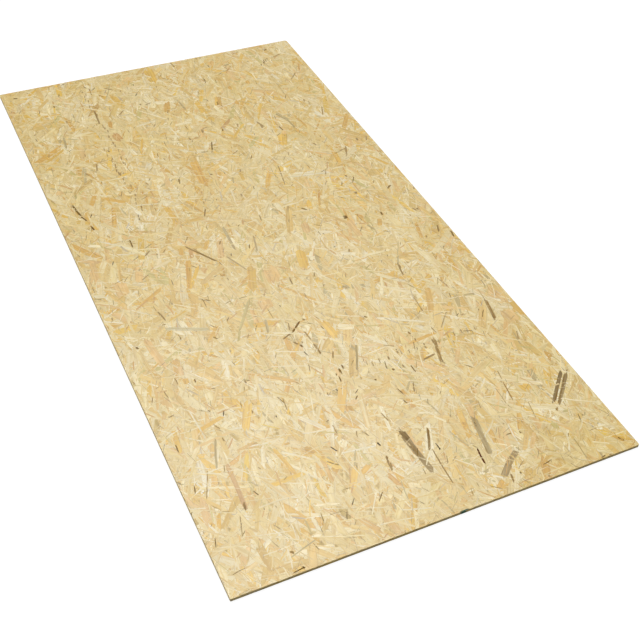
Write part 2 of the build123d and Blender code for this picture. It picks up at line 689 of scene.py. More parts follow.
    Mark((-24, 960), (-48, 884), 18, Tone.ORANGE_HEART),
    Mark((-36, 908), (-48, 880), 3.4, Tone.BROWN_HEART),
    Mark((-16, 1232), (-22, 1120), 30, Tone.GOLD_HEART),
    Mark((-226, 1150), (-198, 1124), 4.8, Tone.BROWN_HEART),
    Mark((-116, 826), (-130, 808), 4.8, Tone.BROWN_HEART),
    Mark((-430, 856), (-362, 860), 14, Tone.WHITE_SAP),
    Mark((-182, 1066), (-120, 1074), 10, Tone.WHITE_SAP),
    Mark((90, 1246), (95, 1206), 5.4, Tone.BROWN_HEART),
    Mark((500, 1202), (514, 1208), 6.1, Tone.DARK_BARK),
    Mark((534, 1218), (546, 1210), 9, Tone.RUST_TAN),
    Mark((550, 984), (510, 938), 4.1, Tone.BROWN_HEART),
    Mark((292, 1142), (314, 1147), 9, Tone.GREY_SAP),
    Mark((288, 1124), (293, 1132), 5.4, Tone.BROWN_HEART),
    Mark((182, 928), (154, 858), 24, Tone.ORANGE_HEART, 0.7),
    Mark((163, 888), (158, 866), 6.1, Tone.DARK_BARK),
    Mark((19, 960), (26, 878), 7, Tone.GREY_SAP),
    Mark((592, 1044), (575, 1000), 6, Tone.ORANGE_HEART),
    Mark((336, 1042), (333, 1018), 18, Tone.PINK_TAN),
    Mark((369, 1192), (391, 1118), 6, Tone.TAN),
    Mark((254, 1196), (244, 1166), 22, Tone.PINK_TAN),
    Mark((391, 844), (384, 826), 4.1, Tone.BROWN_HEART),
    Mark((-77, -790), (-78, -812), 18, Tone.ORANGE_HEART),
    Mark((-248, -376), (-270, -420), 7, Tone.OLIVE),
    Mark((-95, -405), (-105, -435), 3, Tone.BROWN_HEART),
    Mark((-155, -360), (-170, -420), 8, Tone.GREY_SAP),
    Mark((-475, -505), (-476, -527), 16, Tone.ORANGE_HEART),
    Mark((-400, -415), (-425, -460), 14, Tone.TAN),
    Mark((-120, -390), (-119, -420), 28, Tone.WHITE_SAP),
    Mark((-5, -530), (-38, -558), 26, Tone.TAN),
    Mark((-125, -272), (-126, -320), 36, Tone.PINK_TAN),
    Mark((330, -660), (300, -658), 10, Tone.OLIVE),
    Mark((545, -500), (540, -550), 2.5, Tone.BROWN_HEART),
    Mark((362, -287), (360, -302), 8, Tone.BROWN_HEART),
    Mark((600, -278), (598, -304), 18, Tone.ORANGE_HEART),
    Mark((570, -620), (568, -680), 44, Tone.PINK_TAN),
    Mark((555, -715), (540, -750), 3, Tone.BROWN_HEART),
    Mark((-218, 86), (-254, 84), 18, Tone.PINK_TAN),
    Mark((-395, 115), (-365, 130), 3.5, Tone.BROWN_HEART),
    Mark((-395, -5), (-378, -12), 5, Tone.GREY_SAP),
    Mark((-48, -135), (-52, -208), 50, Tone.PINK_TAN),
    Mark((-528, -15), (-532, -88), 36, Tone.PINK_TAN),
    Mark((-582, -69), (-618, -51), 14, Tone.WHITE_SAP),
    Mark((-527, 181), (-563, 199), 14, Tone.WHITE_SAP),
    Mark((-452, -59), (-488, -41), 14, Tone.WHITE_SAP),
    Mark((100, 140), (110, 135), 5, Tone.GREY_SAP),
    Mark((530, 240), (528, 200), 36, Tone.TAN),
    Mark((260, 92), (258, 58), 28, Tone.TAN),
    Mark((410, 136), (409, 124), 9, Tone.BROWN_HEART),
    Mark((290, 190), (270, 150), 9, Tone.ORANGE_HEART),
    Mark((271, 152), (255, 110), 8, Tone.ORANGE_HEART),
    Mark((222, -41), (178, -19), 16, Tone.WHITE_SAP),
    Mark((252, -181), (208, -159), 16, Tone.WHITE_SAP),
    Mark((-345, 572), (-346, 548), 5, Tone.BROWN_HEART),
    Mark((-199, 274), (-201, 258), 9, Tone.ORANGE_HEART),
    Mark((75, 420), (68, 405), 4, Tone.BROWN_HEART),
    Mark((30, 385), (20, 350), 5, Tone.GREY_SAP),
    Mark((285, 460), (280, 440), 3.5, Tone.BROWN_HEART),
    Mark((-430, 970), (-431, 952), 5, Tone.BROWN_HEART),
    Mark((-58, 850), (-62, 830), 4, Tone.BROWN_HEART),
    Mark((-570, 915), (-560, 920), 4, Tone.BROWN_HEART),
    Mark((120, 990), (115, 970), 5, Tone.BROWN_HEART),
    Mark((555, 1150), (510, 1135), 4, Tone.BROWN_HEART),
    Mark((336, 998), (333, 972), 15, Tone.ORANGE_HEART),
    Mark((251, 982), (248, 958), 14, Tone.ORANGE_HEART),
    Mark((236, 868), (234, 842), 14, Tone.ORANGE_HEART),
    Mark((66, 866), (58, 846), 14, Tone.PINK_TAN),
    Mark((30, -1248.6), (58, -1248.6), 2.6, Tone.GREEN_PAINT, 0.4),
]

# The tones of bark, knots and old wood, which take no wax.
BARK_TONES = (
    Tone.OLD_HEART,
    Tone.BROWN_HEART,
    Tone.ASHEN_HEART,
    Tone.DARK_BARK,
    Tone.KNOT_BROWN,
    Tone.RED_BARK,
    Tone.GREY_BROWN,
)

# Small brown specks in the photo, also read from it: place across and along, and half length.
SPECKS = [
    (-90, -500, 4), (-340, -705, 5), (-110, -725, 4), (-130, -715, 4), (150, -712, 6), (460, -440, 6),
    (240, -625, 5), (515, -350, 5), (496, -582, 5), (-365, 70, 5), (-595, -175, 5), (-445, 15, 4),
    (-400, -180, 5), (-485, 40, 4), (565, 195, 5), (620, 75, 5), (530, -62, 5), (50, -230, 4),
    (350, -230, 5), (190, -120, 4), (525, -190, 5), (-210, 395, 5), (-72, 280, 5), (-120, 280, 5),
    (-40, 580, 5), (262, 658, 11), (20, 568, 5), (570, 440, 9), (20, 270, 8), (35, 710, 9),
    (98, 565, 5), (445, 510, 5), (505, 740, 7), (-170, 1105, 5), (-25, 1085, 5), (175, 1060, 8),
    (495, 770, 8),
]

# The faint dotted lines in the photo.
TRAILS = [
    Trail((-314, 1160), (-306, 590), 22, 5, Tone.BROWN_HEART),
    Trail((-343, 740), (-338, 310), 20, 5, Tone.BROWN_HEART),
    Trail((-284, 1170), (-286, 1110), 4, 2, Tone.BROWN_HEART),
    Trail((492, 1138), (440, 1092), 5, 2, Tone.DARK_BARK),
    Trail((-66, -996), (-64, -1052), 5, 3, Tone.BROWN_HEART),
    Trail((35, -663), (455, -655), 16, 7, Tone.BROWN_HEART),
    Trail((-20, -640), (-60, -680), 5, 5, Tone.DARK_BARK),
]

# What is strewn on the broad faces, from the lowest up. Flakes come first, then slivers along and
# across the sheet, and over the strands that stand out come hairs, old wood and fines.
BARK_SLIVERS = [
    Lay(560, (6, 40), (1.4, 4.6), (0.17, 0.23), BARK_WOODS, Cut.SLIVER, 8, 34, 0.3),
]
TOP_LAYS = [
    Lay(
        6800, (60, 150), (8, 32), (0.03, 0.17), FACE_WOODS, Cut.FLAKE, 4, 24, 0.36, taper=(0.3, 1.0)
    ),
    Lay(5600, (20, 100), (1.4, 8.0), (0.08, 0.20), SLIVER_WOODS, Cut.SLIVER, 0, 38, 0.3),
    Lay(1450, (45, 150), (2.0, 9.0), (0.12, 0.20), ACROSS_WOODS, Cut.SLIVER, -62, 17, 0.1),
    Lay(3000, (14, 70), (0.7, 2.2), (0.16, 0.23), SLIVER_WOODS, Cut.SLIVER, -65, 32, 0.3),
]
TOP_FINES = [
    Lay(3400, (6, 45), (0.5, 1.4), (0.17, 0.24), HAIR_WOODS, Cut.SLIVER, 12, 32, 0.3),
    Lay(480, (12, 70), (2.5, 9.0), (0.14, 0.21), RUSTY_WOODS, Cut.SLIVER, 8, 32, 0.3),
    Lay(9000, (2, 12), (0.8, 2.6), (0.17, 0.26), FINES_WOODS, Cut.CHIP, stray_share=0.6),
]
UNDER_LAYS = [
    Lay(5600, (65, 155), (11, 44), (0.03, 0.17), FACE_WOODS, taper=(0.55, 1.0)),
    Lay(1800, (25, 95), (2.0, 8.0), (0.10, 0.20), SLIVER_WOODS, Cut.SLIVER, spread_deg=28),
]
UNDER_FINES = [
    Lay(1200, (8, 45), (0.6, 2.0), (0.17, 0.22), HAIR_WOODS, Cut.SLIVER, 12, 30, 0.3),
]


@dataclass(frozen=True)
class PressedStrands:
    """Softwood strands sliced along the grain, waxed, glued and hot-pressed, left unsanded.

    Slicing along the grain gives fine fibre streaks and growth-ring lines along each strand.
    Hot pressing leaves the face flat with a dull waxy sheen and small dark dots where resin and bark
    dry. One rim of some strands has a thin painted shade, which stands in for the shadow where one
    strand's rim sinks into the next. Real fibres are too fine to show, so they are drawn 0.9 mm wide.
    A size pair is along and across the strand, a band is the low and high end of what a map reads,
    and a light is a gain of red, green and blue.
    """

    name: str = "softwood_strands_hot_pressed"
    fibre_mm: tuple[float, float] = (45.0, 0.9)
    ring_mm: tuple[float, float] = (170.0, 5.0)
    mottle_mm: tuple[float, float] = (26.0, 7.0)
    blotch_mm: float = 160.0
    fibre_band: tuple[float, float] = (0.25, 0.75)
    fibre_contrast: float = 0.045
    ring_band: tuple[float, float] = (0.48, 0.66)
    ring_depth: float = 0.45
    latewood: str = "E2CC93"
    cloud_reach: float = 0.3
    heartwood_light: tuple[float, float, float] = (0.93, 0.88, 0.68)
    sapwood_light: tuple[float, float, float] = (1.05, 1.09, 1.31)
    # The painted shade along one rim: where it starts across the strand, and how dark it gets.
    rim_start: float = 0.78
    painted_rim_shade_depth: float = 0.48
    resin: str = "5A4728"
    resin_spacing_mm: float = 12.0
    resin_radius_mm: float = 0.9
    resin_solid: float = 0.4
    resin_band: tuple[float, float] = (0.55, 0.95)
    resin_cover: float = 0.9
    fibre_relief_mm: float = 0.02
    roughness: tuple[float, float] = (0.28, 0.41)
    wax_band: tuple[float, float] = (0.3, 1.7)
    torn_band: tuple[float, float] = (1.5, 5.0)
    torn_roughness: float = 0.40
    wax_index: float = 1.4

    def grain_noises(
        self, tree: bpy.types.NodeTree, grain: bpy.types.NodeSocket
    ) -> list[bpy.types.NodeSocket]:
        """Draws the fibre, the growth rings and the mottle along each strand.

        Each is a noise of the grain place divided by that pattern's length and width.

        Args:
            tree: The material's node tree.
            grain: The place along and across the strand, in millimetres.

        Returns:
            The fibre, ring and mottle sockets.
        """
        noises = []
        for (length, width), detail, rough in (
            (self.fibre_mm, 3.0, 0.62),
            (self.ring_mm, 1.5, 0.5),
            (self.mottle_mm, 2.0, 0.5),
        ):
            scaled = add_node(tree, "ShaderNodeMapping", {0: grain, "Scale": (1 / length, 1 / width, 1)})
            wires = {"Vector": scaled.outputs[0], "Scale": 1.0, "Detail": detail, "Roughness": rough}
            noises.append(add_node(tree, "ShaderNodeTexNoise", wires).outputs["Fac"])
        return noises

    def age_light(
        self,
        tree: bpy.types.NodeTree,
        mottle: bpy.types.NodeSocket,
        place: bpy.types.NodeSocket,
        figure: bpy.types.NodeSocket,
    ) -> bpy.types.NodeSocket:
        """Shifts the wood between heartwood and sapwood.

        The cloud is the mottle plus a broad blotch less one, times the figure. From minus its
        reach to plus its reach the light runs from heartwood's to sapwood's, and on past both.

        Args:
            tree: The material's node tree.
            mottle: The mottle along the strand.
            place: The place on the sheet.
            figure: How strongly the strand's grain shows.

        Returns:
            The gain of red, green and blue.
        """
        broad = {"Vector": place, "Scale": 1 / (self.blotch_mm * MM), "Detail": 2.0}
        blotch = add_node(tree, "ShaderNodeTexNoise", broad).outputs["Fac"]
        cloud = add_node(tree, "ShaderNodeMath", {0: mottle, 1: blotch}, operation="ADD").outputs[0]
        cloud = add_node(tree, "ShaderNodeMath", {0: cloud, 1: 1.0}, operation="SUBTRACT").outputs[0]
        cloud = add_node(tree, "ShaderNodeMath", {0: cloud, 1: figure}, operation="MULTIPLY").outputs[0]
        span = {0: cloud, 1: -self.cloud_reach, 2: self.cloud_reach, 3: 0.0, 4: 1.0}
        age = add_node(tree, "ShaderNodeMapRange", span, clamp=False).outputs[0]
        ends = {0: age, 4: self.heartwood_light, 5: self.sapwood_light}
        return add_node(tree, "ShaderNodeMix", ends, data_type="VECTOR", clamp_factor=False).outputs[1]

    def painted_rim_shadow(
        self, tree: bpy.types.NodeTree, lot: bpy.types.NodeOutputs
    ) -> bpy.types.NodeSocket:
        """Shades one rim of each strand, as far as the strand's lot says.

        The side runs from -1 at one rim to 1 at the other. A random sign picks the rim, and a painted
        shade there, in place of the thin shadow at a strand's edge, deepens with the square of the
        strand's own chance.

        Args:
            tree: The material's node tree.
            lot: The outputs of a white noise that is the same all over one strand.

        Returns:
            The gain, which is 1 away from the rim.
        """
        side = add_node(tree, "ShaderNodeAttribute", attribute_name="rim").outputs["Fac"]
        turn = add_node(tree, "ShaderNodeSeparateColor", {0: lot["Color"]}).outputs[1]
        turn = add_node(tree, "ShaderNodeMath", {0: turn, 1: 0.5}, operation="SUBTRACT").outputs[0]
        turn = add_node(tree, "ShaderNodeMath", {0: turn}, operation="SIGN").outputs[0]
        edge = add_node(tree, "ShaderNodeMath", {0: side, 1: turn}, operation="MULTIPLY").outputs[0]
        span = {0: edge, 1: self.rim_start, 2: 1.0, 3: 0.0, 4: self.painted_rim_shade_depth}
        low = add_node(tree, "ShaderNodeMapRange", span).outputs[0]
        deep = add_node(tree, "ShaderNodeMath", {0: lot["Value"], 1: 2.0}, operation="POWER").outputs[0]
        low = add_node(tree, "ShaderNodeMath", {0: low, 1: deep}, operation="MULTIPLY").outputs[0]
        return add_node(tree, "ShaderNodeMath", {0: 1.0, 1: low}, operation="SUBTRACT").outputs[0]

    def resin_dots(
        self, tree: bpy.types.NodeTree, place: bpy.types.NodeSocket
    ) -> bpy.types.NodeSocket:
        """Scatters small dark dots, at the middles of some of the cells of a Voronoi pattern.

        A dot is solid out to a share of its radius and fades from there to the radius.

        Args:
            tree: The material's node tree.
            place: The place on the sheet.

        Returns:
            How far the resin covers the wood, from 0 to 1.
        """
        wires = {"Vector": place, "Scale": 1 / (self.resin_spacing_mm * MM)}
        cells = add_node(tree, "ShaderNodeTexVoronoi", wires)
        reach = self.resin_radius_mm / self.resin_spacing_mm
        span = {0: cells.outputs["Distance"], 1: self.resin_solid * reach, 2: reach, 3: 1.0, 4: 0.0}
        dot = add_node(tree, "ShaderNodeMapRange", span).outputs[0]
        chance = add_node(tree, "ShaderNodeSeparateColor", {0: cells.outputs["Color"]}).outputs[0]
        low, high = self.resin_band
        span = {0: chance, 1: low, 2: high, 3: 0.0, 4: self.resin_cover}
        few = add_node(tree, "ShaderNodeMapRange", span).outputs[0]
        return add_node(tree, "ShaderNodeMath", {0: dot, 1: few}, operation="MULTIPLY").outputs[0]

    def dullness(
        self,
        tree: bpy.types.NodeTree,
        fibre: bpy.types.NodeSocket,
        chance: bpy.types.NodeSocket,
        figure: bpy.types.NodeSocket,
    ) -> bpy.types.NodeSocket:
        """Works out the roughness: less where more wax lies, and more where the grain is torn.

        The wax is the fibre plus the strand's own chance, and a high figure is torn grain.

        Args:
            tree: The material's node tree.
            fibre: The fibre along the strand.
            chance: The strand's own number from 0 to 1.
            figure: How strongly the strand's grain shows.

        Returns:
            The roughness.
        """
        smooth, rough = self.roughness
        wax = add_node(tree, "ShaderNodeMath", {0: fibre, 1: chance}, operation="ADD").outputs[0]
        span = {0: wax, 1: self.wax_band[0], 2: self.wax_band[1], 3: rough, 4: smooth}
        dull = add_node(tree, "ShaderNodeMapRange", span).outputs[0]
        span = {0: figure, 1: self.torn_band[0], 2: self.torn_band[1], 3: 0.0, 4: self.torn_roughness}
        torn = add_node(tree, "ShaderNodeMapRange", span).outputs[0]
        return add_node(tree, "ShaderNodeMath", {0: dull, 1: torn}, operation="ADD").outputs[0]

    def material(self) -> bpy.types.Material:
        """Builds the material from the strands' own tint, fibre direction and rims.

        The tint's fourth number is the figure, which scales how much the fibre and the ring
        lines show. The grain's third number is the same all over one strand and unlike others'.

        Returns:
            The material, which reads the attributes strand_tint, grain_mm and rim.
        """
        material, tree = blank_material(self.name)
        strand = add_node(tree, "ShaderNodeAttribute", attribute_name="strand_tint")
        tint, figure = strand.outputs["Color"], strand.outputs["Alpha"]
        grain = add_node(tree, "ShaderNodeAttribute", attribute_name="grain_mm").outputs["Vector"]
        place = add_node(tree, "ShaderNodeTexCoord").outputs["Object"]
        own = add_node(tree, "ShaderNodeSeparateXYZ", {0: grain}).outputs[2]
        lot = add_node(tree, "ShaderNodeTexWhiteNoise", {"W": own}, noise_dimensions="1D").outputs
        fibre, ring, mottle = self.grain_noises(tree, grain)

        low, high = self.fibre_band
        span = {0: fibre, 1: low, 2: high, 3: -self.fibre_contrast, 4: self.fibre_contrast}
        streak = add_node(tree, "ShaderNodeMapRange", span).outputs[0]
        wires = {0: streak, 1: figure, 2: 1.0}
        shown = add_node(tree, "ShaderNodeMath", wires, operation="MULTIPLY_ADD").outputs[0]
        # The fibre streak times a painted shade along one rim of some strands, standing in for the thin
        # shadow at a strand's edge.
        wires = {0: shown, 1: self.painted_rim_shadow(tree, lot)}
        gain = add_node(tree, "ShaderNodeMath", wires, operation="MULTIPLY").outputs[0]

        low, high = self.ring_band
        span = {0: ring, 1: low, 2: high, 3: 0.0, 4: self.ring_depth}
        line = add_node(tree, "ShaderNodeMapRange", span).outputs[0]
        wires = {0: line, 1: figure}
        line = add_node(tree, "ShaderNodeMath", wires, operation="MULTIPLY", use_clamp=True).outputs[0]
        wires = {0: 1.0, 6: tint, 7: (*linear(self.latewood), 1)}
        late = add_node(tree, "ShaderNodeMix", wires, data_type="RGBA", blend_type="MULTIPLY").outputs[2]
        wood = add_node(tree, "ShaderNodeMix", {0: line, 6: tint, 7: late}, data_type="RGBA").outputs[2]
        wires = {0: wood, 1: self.age_light(tree, mottle, place, figure)}
        aged = add_node(tree, "ShaderNodeVectorMath", wires, operation="MULTIPLY").outputs[0]
        lit = add_node(tree, "ShaderNodeVectorMath", {0: aged, "Scale": gain}, operation="SCALE").outputs[0]
        wires = {0: self.resin_dots(tree, place), 6: lit, 7: (*linear(self.resin), 1)}
        colour = add_node(tree, "ShaderNodeMix", wires, data_type="RGBA").outputs[2]

        height = add_node(tree, "ShaderNodeMath", {0: ring, 1: fibre}, operation="ADD").outputs[0]
        wires = {"Strength": 1.0, "Distance": self.fibre_relief_mm * MM, "Height": height}
        relief = add_node(tree, "ShaderNodeBump", wires).outputs[0]
        dull = self.dullness(tree, fibre, lot["Value"], figure)
        wires = {"Base Color": colour, "Roughness": dull, "Normal": relief, "IOR": self.wax_index}
        surface = add_node(tree, "ShaderNodeBsdfPrincipled", wires)
        add_node(tree, "ShaderNodeOutputMaterial", {"Surface": surface.outputs[0]})
        return material


@dataclass(frozen=True)
class SawnStrands(PressedStrands):
    """Strands cut through by the saw: duller and rougher than pressed ones, with a deeper painted shade at
    the rims.
    """

    name: str = "softwood_strands_sawn"
    fibre_mm: tuple[float, float] = (9.0, 0.35)
    fibre_contrast: float = 0.16
    # A deeper painted shade along the rims, standing in for the shadows between cut strands.
    painted_rim_shade_depth: float = 0.70
    roughness: tuple[float, float] = (0.72, 0.88)


@dataclass(frozen=True)
class BarkStrands(PressedStrands):
    """Slivers of bark, knots and old wood: porous, so they take no wax and stay dull and deep."""

    name: str = "bark_and_knot_slivers_unwaxed"
    heartwood_light: tuple[float, float, float] = (0.89, 0.87, 0.84)
    sapwood_light: tuple[float, float, float] = (1.10, 1.12, 1.14)
    roughness: tuple[float, float] = (0.76, 0.90)
    torn_roughness: float = 0.0
    wax_index: float = 1.25


@dataclass(frozen=True)
class BoardCore:
    """The board under its outer strands: compressed strands seen in the gaps and along the cut.

    The saw tears the fibres, so the cut is darker and duller than the pressed faces, with thin
    layers in it, and the gaps between strands are in shade.
    """

    name: str = "strand_board_core"
    layer_mm: float = 0.7
    run_mm: float = 22.0
    patch_mm: tuple[float, float] = (9.0, 60.0)
    lean_deg: float = 7.0
    facing_band: tuple[float, float] = (0.4, 0.8)
    cut_stops: tuple[tuple[float, str], ...] = ((0.36, "4A4132"), (0.62, "958666"))
    face_stops: tuple[tuple[float, str], ...] = ((0.35, "BDA571"), (0.65, "D8C18A"))
    relief_mm: float = 0.2
    roughness: float = 0.8
    wood_index: float = 1.5

    def material(self) -> bpy.types.Material:
        """Builds the material: layers on the upright faces, and shaded wood on the flat ones.

        Returns:
            The material.
        """
        material, tree = blank_material(self.name)
        place = add_node(tree, "ShaderNodeTexCoord").outputs["Object"]
        normal = add_node(tree, "ShaderNodeNewGeometry").outputs["Normal"]
        facing = add_node(tree, "ShaderNodeSeparateXYZ", {0: normal}).outputs[2]
        upward = add_node(tree, "ShaderNodeMath", {0: facing}, operation="ABSOLUTE").outputs[0]
        low, high = self.facing_band
        span = {0: upward, 1: low, 2: high, 3: 0.0, 4: 1.0}
        flat = add_node(tree, "ShaderNodeMapRange", span).outputs[0]

        run, layer = 1 / (self.run_mm * MM), 1 / (self.layer_mm * MM)
        patch = [1 / (size * MM) for size in self.patch_mm]
        noises, colours = [], []
        for scale, lean, detail, stops in (
            ((run, run, layer), 0.0, 2.0, self.cut_stops),
            ((*patch, 1), self.lean_deg, 3.0, self.face_stops),
        ):
            wires = {0: place, "Rotation": (0, 0, np.radians(lean)), "Scale": scale}
            scaled = add_node(tree, "ShaderNodeMapping", wires).outputs[0]
            wires = {"Vector": scaled, "Scale": 1.0, "Detail": detail}
            noises.append(add_node(tree, "ShaderNodeTexNoise", wires).outputs["Fac"])
            ramp = add_node(tree, "ShaderNodeValToRGB", {0: noises[-1]})
            for element, (spot, code) in zip(ramp.color_ramp.elements, stops, strict=True):
                element.position = spot
                element.color = (*linear(code), 1)
            colours.append(ramp.outputs[0])

        wires = {0: flat, 6: colours[0], 7: colours[1]}
        colour = add_node(tree, "ShaderNodeMix", wires, data_type="RGBA").outputs[2]
        wires = {"Strength": 1.0, "Distance": self.relief_mm * MM, "Height": noises[0]}
        relief = add_node(tree, "ShaderNodeBump", wires).outputs[0]
        wires = {"Base Color": colour, "Roughness": self.roughness, "Normal": relief}
        wires["IOR"] = self.wood_index
        surface = add_node(tree, "ShaderNodeBsdfPrincipled", wires)
        add_node(tree, "ShaderNodeOutputMaterial", {"Surface": surface.outputs[0]})
        return material


@dataclass(frozen=True)
class FacePlane:
    """A plane that strands lie on, with its axes and the outline that the saw leaves.

    Across, along and out are a right-handed set of unit axes. The half sizes are in metres, and
    the corner radii are for the corners at low across and low along, high across and low along,
    high across and high along, and low across and high along.
    """

    centre: tuple[float, float, float]
    across: tuple[float, float, float]
    along: tuple[float, float, float]
    out: tuple[float, float, float]
    half_across: float
    half_along: float
    corner_radii: tuple[float, float, float, float] = (0.0, 0.0, 0.0, 0.0)

    def trim(self, p: np.ndarray, q: np.ndarray, inset: np.ndarray) -> tuple[np.ndarray, np.ndarray]:
        """Moves points outside the outline onto it.

        A point is held to the rectangle less its inset. In each worn corner, a point further
        from the corner's arc centre than its radius is then drawn straight back to the arc.

        Args:
            p: Places across.
            q: Places along.
            inset: How far inside the outline each point has to stop.

        Returns:
            The new places across and along.
        """
        p = np.clip(p, inset - self.half_across, self.half_across - inset)
        q = np.clip(q, inset - self.half_along, self.half_along - inset)
        for (a, b), radius in zip(((-1, -1), (1, -1), (1, 1), (-1, 1)), self.corner_radii, strict=True):
            dp = a * p - (self.half_across - radius)
            dq = b * q - (self.half_along - radius)
            far = np.hypot(dp, dq)
            reach = np.maximum(radius - inset, 0)
            pull = np.where((dp > 0) & (dq > 0) & (far > reach), reach / np.maximum(far, 1e-9), 1.0)
            p = np.where(pull < 1, a * (self.half_across - radius + dp * pull), p)
            q = np.where(pull < 1, b * (self.half_along - radius + dq * pull), q)
        return p, q

    def place(self, p: np.ndarray, q: np.ndarray, height: np.ndarray) -> np.ndarray:
        """Turns places across, along and above the plane into points in space."""
        axes = np.array([self.across, self.along, self.out])
        return np.array(self.centre) + np.stack([p, q, height], -1) @ axes


@dataclass
class StrandMat:
    """A joined mesh of strands that lie on one plane, in layers from the lowest up.

    Each strand has cross lines along a bowed spine, with a left and a right point at each, on
    an outer ring and on an inner ring sunk into the board, so it is a closed strip. The ripple
    is the spread of its height, and ragged is how far inside the outline the saw may leave it.
    Few strands that lie far apart get map cells of their own, and others share a flat map.
    """

    name: str
    plane: FacePlane
    layers: list[Layer]
    material: bpy.types.Material
    sunk: float = 0.35 * MM
    ripple: float = 0.012 * MM
    ragged: float = 0.7 * MM
    shade_spread: float = 0.05
    narrowest: float = 0.86
    slant: float = 0.8
    grain_start_mm: float = 4000.0
    grain_lots: float = 900.0
    tiles: int = 2
    own_cells: bool = False
    seed: int = 1

    def outline(
        self, s: Strands, cut: Cut, rng: np.random.Generator
    ) -> tuple[np.ndarray, np.ndarray, np.ndarray, np.ndarray]:
        """Works out each strand's two long sides.

        A spine point is the centre, plus the cross line's share of the length along the strand,
        plus the bow times one less four times that share squared, sideways. The half width
        follows a random taper that is narrowest at the ends, and the end lines are pushed
        forward on one side and back on the other by the skew.

        Args:
            s: The strands.
            cut: Where their cross lines are.
            rng: The seeded generator.

        Returns:
            Places across and along, as strands by left or right by cross lines, then the
            distance along each strand and the half width, as strands by cross lines.
        """
        share = np.array(cut.value)
        # One at the end lines, at a share of 0.5, and none at the others, at 0.4 and less.
        end = np.clip(np.abs(share) * 10 - 4, 0, 1)
        narrow = rng.uniform(self.narrowest, 1.0, (len(s), len(share)))
        half = s.width[:, None] / 2 * narrow * (1 - end * (1 - s.taper[:, None]))
        run = s.length[:, None] * share
        sway = s.bow[:, None] * (1 - 4 * share**2)
        slant = np.sign(share) * end * s.skew[:, None] * s.width[:, None] * self.slant
        side = np.array([-1.0, 1.0])[None, :, None]
        forward = run[:, None, :] + slant[:, None, :] * side
        sideways = sway[:, None, :] + half[:, None, :] * side
        sin, cos = np.sin(s.angle)[:, None, None], np.cos(s.angle)[:, None, None]
        p = s.across[:, None, None] + forward * sin + sideways * cos
        q = s.along[:, None, None] + forward * cos - sideways * sin
        return p, q, run, half

    def corners(self, n: int) -> np.ndarray:
        """The four-cornered faces of one strand, numbered from its first point.

        The points run left then right on the outer ring, and the same on the inner ring. Inner
        faces come first and outer ones last, so that a map drawn from above shows the outer.

        Args:
            n: How many cross lines the strand has.

        Returns:
            An array of faces by four point numbers, turned so that each faces outward.
        """
        j = np.arange(n - 1)
        left, right = j, n + j
        deep = 2 * n
        inner = np.stack([deep + left, deep + left + 1, deep + right + 1, deep + right], 1)
        outer = np.stack([left, right, right + 1, left + 1], 1)
        right_wall = np.stack([right, deep + right, deep + right + 1, right + 1], 1)
        left_wall = np.stack([left + 1, deep + left + 1, deep + left, left], 1)
        back = np.array([[0, deep, deep + n, n]])
        front = np.array([[2 * n - 1, deep + 2 * n - 1, deep + n - 1, n - 1]])
        return np.concatenate([inner, back, front, right_wall, left_wall, outer])

    def shape(self, layer: Layer, rng: np.random.Generator) -> dict:
        """Works out one layer's points and faces, and what its material reads.

        Heights are the strand's level plus a small normal ripple, and the inner ring is sunk by
        one depth. Grain places are the distance along plus a random start, the signed half
        width, and a number of the strand's own. The tint varies a little from point to point.

        Args:
            layer: The layer.
            rng: The seeded generator.

        Returns:
            Arrays by name: space, grain, rim, tint, spot, local and number by point, and faces.
        """
        s = layer.strands.pick(np.argsort(layer.strands.level, kind="stable"))
        count, lines = len(s), len(layer.cut.value)
        p, q, run, half = self.outline(s, layer.cut, rng)
        inset = self.ragged * rng.random((count, 1, 1)) ** 2
        p, q = self.plane.trim(p, q, np.broadcast_to(inset, p.shape))
        height = s.level[:, None, None] + self.ripple * rng.standard_normal((count, 2, lines))
        depth = np.full_like(height, -self.sunk)
        p, q = np.concatenate([p, p], 1), np.concatenate([q, q], 1)
        space = self.plane.place(p, q, np.concatenate([height, depth], 1))

        sides = np.array([-1.0, 1.0, -1.0, 1.0])[None, :, None]
        grain = np.broadcast_arrays(
            (run / MM)[:, None, :] + rng.uniform(0, self.grain_start_mm, (count, 1, 1)),
            (half / MM)[:, None, :] * sides,
            rng.uniform(0, self.grain_lots, (count, 1, 1)),
        )
        light = 1 + self.shade_spread * rng.standard_normal((count, 2, lines, 1))
        tint = s.tint[:, None, None, :] * np.concatenate([light, light], 1)
        figure = np.broadcast_to(s.figure[:, None, None, None], (count, 4, lines, 1))
        centre = np.broadcast_to(s.along[:, None, None], p.shape)
        local = np.broadcast_arrays(np.array(layer.cut.value), sides / 2, p)[:2]
        faces = self.corners(lines)[None] + 4 * lines * np.arange(count)[:, None, None]
        return {
            "space": space.reshape(-1, 3),
            "grain": np.stack(grain, -1).reshape(-1, 3),
            "rim": np.broadcast_to(sides, p.shape).ravel(),
            "tint": np.concatenate([tint, figure], -1).reshape(-1, 4),
            "spot": np.stack([p, q, centre], -1).reshape(-1, 3),
            "local": np.stack(local, -1).reshape(-1, 2),
            "number": np.broadcast_to(np.arange(count)[:, None, None], p.shape).ravel(),
            "faces": faces.reshape(-1, 4),
        }

    def cell_map(self, local: np.ndarray, number: np.ndarray) -> np.ndarray:
        """Gives each strand a cell of its own in a square grid, as few strands are far apart.

        A point lies at its share of the strand's length and side within most of its cell.

        Args:
            local: Each point's share along and across its strand, from -0.5 to 0.5.
            number: Each point's strand.

        Returns:
            Map places, as points by two.
        """
        filled = 0.9
        rows = int(np.ceil(np.sqrt(number.max() + 1)))
        cell = np.stack([number % rows, number // rows], 1)
        return (cell + 0.5 + filled * local) / rows

